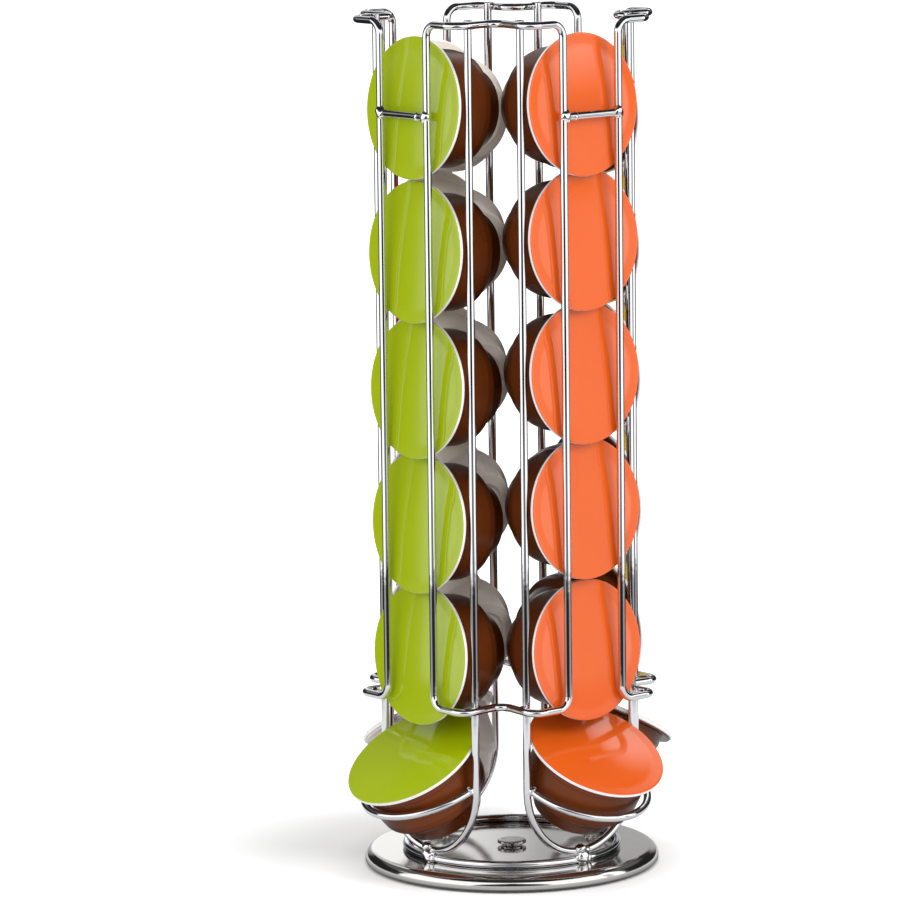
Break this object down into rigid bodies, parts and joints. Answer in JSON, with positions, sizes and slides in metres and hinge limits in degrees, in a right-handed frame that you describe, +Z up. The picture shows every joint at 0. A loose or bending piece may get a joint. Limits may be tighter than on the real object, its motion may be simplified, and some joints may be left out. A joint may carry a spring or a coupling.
{
  "type": "coffee capsule carousel",
  "caption": "Revolving wire tower that stores coffee capsules in upright columns, loaded from the top and taken from tilted cradles at the foot.",
  "frame": {"origin": "centre of the round foot, on the surface that it stands on", "axes": "+Z up the turning axis; the capsule columns stand on +X, +Y, -X and -Y, and -Y is the front"},
  "size_m": [0.1469, 0.1471, 0.3309],
  "materials": {
    "chrome_wire": "bright chrome plate on drawn steel wire",
    "chrome_disc": "bright chrome plate on pressed steel sheet",
    "weld_chrome": "chrome plated weld metal, slightly rough",
    "zinc_foot": "zinc plated pressed steel",
    "rubber_pad": "matt black rubber",
    "nylon_white": "matt nylon",
    "bearing_steel": "ground and polished steel",
    "cup_brown": "satin moulded plastic",
    "cup_cream": "satin moulded plastic",
    "lid_green": "glossy film on a white rim",
    "lid_orange": "glossy film on a white rim",
    "lid_yellow": "glossy film on a white rim",
    "lid_red": "glossy film on a white rim"
  },
  "bodies": {
    "foot": {"foot_pad": "rubber_pad", "foot_plate": "zinc_foot", "pivot_rivet": "chrome_disc", "pivot_washer": "nylon_white"},
    "ball_ring": {"ball_cage": "nylon_white", "bearing_balls": "bearing_steel"},
    "carousel": {"turntable_plate": "chrome_disc", "base_ring": "chrome_wire", "weld_beads": "weld_chrome", "guard_loop_back_right": "chrome_wire", "guard_loop_back_left": "chrome_wire", "guard_loop_front_left": "chrome_wire", "guard_loop_front_right": "chrome_wire", "hairpin_right": "chrome_wire", "cradle_hoop_right": "chrome_wire", "tie_bar_right": "chrome_wire", "hairpin_back": "chrome_wire", "cradle_hoop_back": "chrome_wire", "tie_bar_back": "chrome_wire", "hairpin_left": "chrome_wire", "cradle_hoop_left": "chrome_wire", "tie_bar_left": "chrome_wire", "hairpin_front": "chrome_wire", "cradle_hoop_front": "chrome_wire", "tie_bar_front": "chrome_wire"},
    "stack_right": {"cup_right_1": "cup_brown", "cup_right_2": "cup_brown", "cup_right_3": "cup_brown", "cup_right_4": "cup_brown", "cup_right_5": "cup_brown", "stack_lids_right": "lid_orange"},
    "low_capsule_right": {"cup_right_6": "cup_brown", "low_lid_right": "lid_orange"},
    "stack_back": {"cup_back_1": "cup_brown", "cup_back_2": "cup_brown", "cup_back_3": "cup_brown", "cup_back_4": "cup_brown", "cup_back_5": "cup_brown", "stack_lids_back": "lid_yellow"},
    "low_capsule_back": {"cup_back_6": "cup_brown", "low_lid_back": "lid_yellow"},
    "stack_left": {"cup_left_1": "cup_cream", "cup_left_2": "cup_cream", "cup_left_3": "cup_cream", "cup_left_4": "cup_cream", "cup_left_5": "cup_cream", "stack_lids_left": "lid_red"},
    "low_capsule_left": {"cup_left_6": "cup_cream", "low_lid_left": "lid_red"},
    "stack_front": {"cup_front_1": "cup_brown", "cup_front_2": "cup_brown", "cup_front_3": "cup_brown", "cup_front_4": "cup_brown", "cup_front_5": "cup_brown", "stack_lids_front": "lid_green"},
    "low_capsule_front": {"cup_front_6": "cup_brown", "low_lid_front": "lid_green"}
  },
  "joints": [
    {"name": "carousel_spin", "type": "hinge", "parent": "foot", "child": "carousel", "pos_m": [0, 0, 0.006], "axis": [0, 0, 1], "continuous": true},
    {"name": "ball_ring_spin", "type": "hinge", "parent": "foot", "child": "ball_ring", "pos_m": [0, 0, 0.0035], "axis": [0, 0, 1], "continuous": true},
    {"name": "stack_lift_right", "type": "slide", "parent": "carousel", "child": "stack_right", "axis": [0, 0, 1], "range_m": [0, 0.28]},
    {"name": "low_capsule_turn_right", "type": "hinge", "parent": "carousel", "child": "low_capsule_right", "pos_m": [0.0503, 0, 0.05185], "axis": [0.5075, 0, 0.8616], "continuous": true},
    {"name": "stack_lift_back", "type": "slide", "parent": "carousel", "child": "stack_back", "axis": [0, 0, 1], "range_m": [0, 0.28]},
    {"name": "low_capsule_turn_back", "type": "hinge", "parent": "carousel", "child": "low_capsule_back", "pos_m": [0, 0.0509, 0.05155], "axis": [0, 0.4772, 0.8788], "continuous": true},
    {"name": "stack_lift_left", "type": "slide", "parent": "carousel", "child": "stack_left", "axis": [0, 0, 1], "range_m": [0, 0.28]},
    {"name": "low_capsule_turn_left", "type": "hinge", "parent": "carousel", "child": "low_capsule_left", "pos_m": [-0.0503, 0, 0.04975], "axis": [-0.5, 0, 0.866], "continuous": true},
    {"name": "stack_lift_front", "type": "slide", "parent": "carousel", "child": "stack_front", "axis": [0, 0, 1], "range_m": [0, 0.28]},
    {"name": "low_capsule_turn_front", "type": "hinge", "parent": "carousel", "child": "low_capsule_front", "pos_m": [0, -0.0501, 0.04875], "axis": [0, -0.5446, 0.8387], "continuous": true}
  ],
  "couplings": [
    {"joint": "ball_ring_spin", "follows": "carousel_spin", "ratio": 0.5}
  ]
}
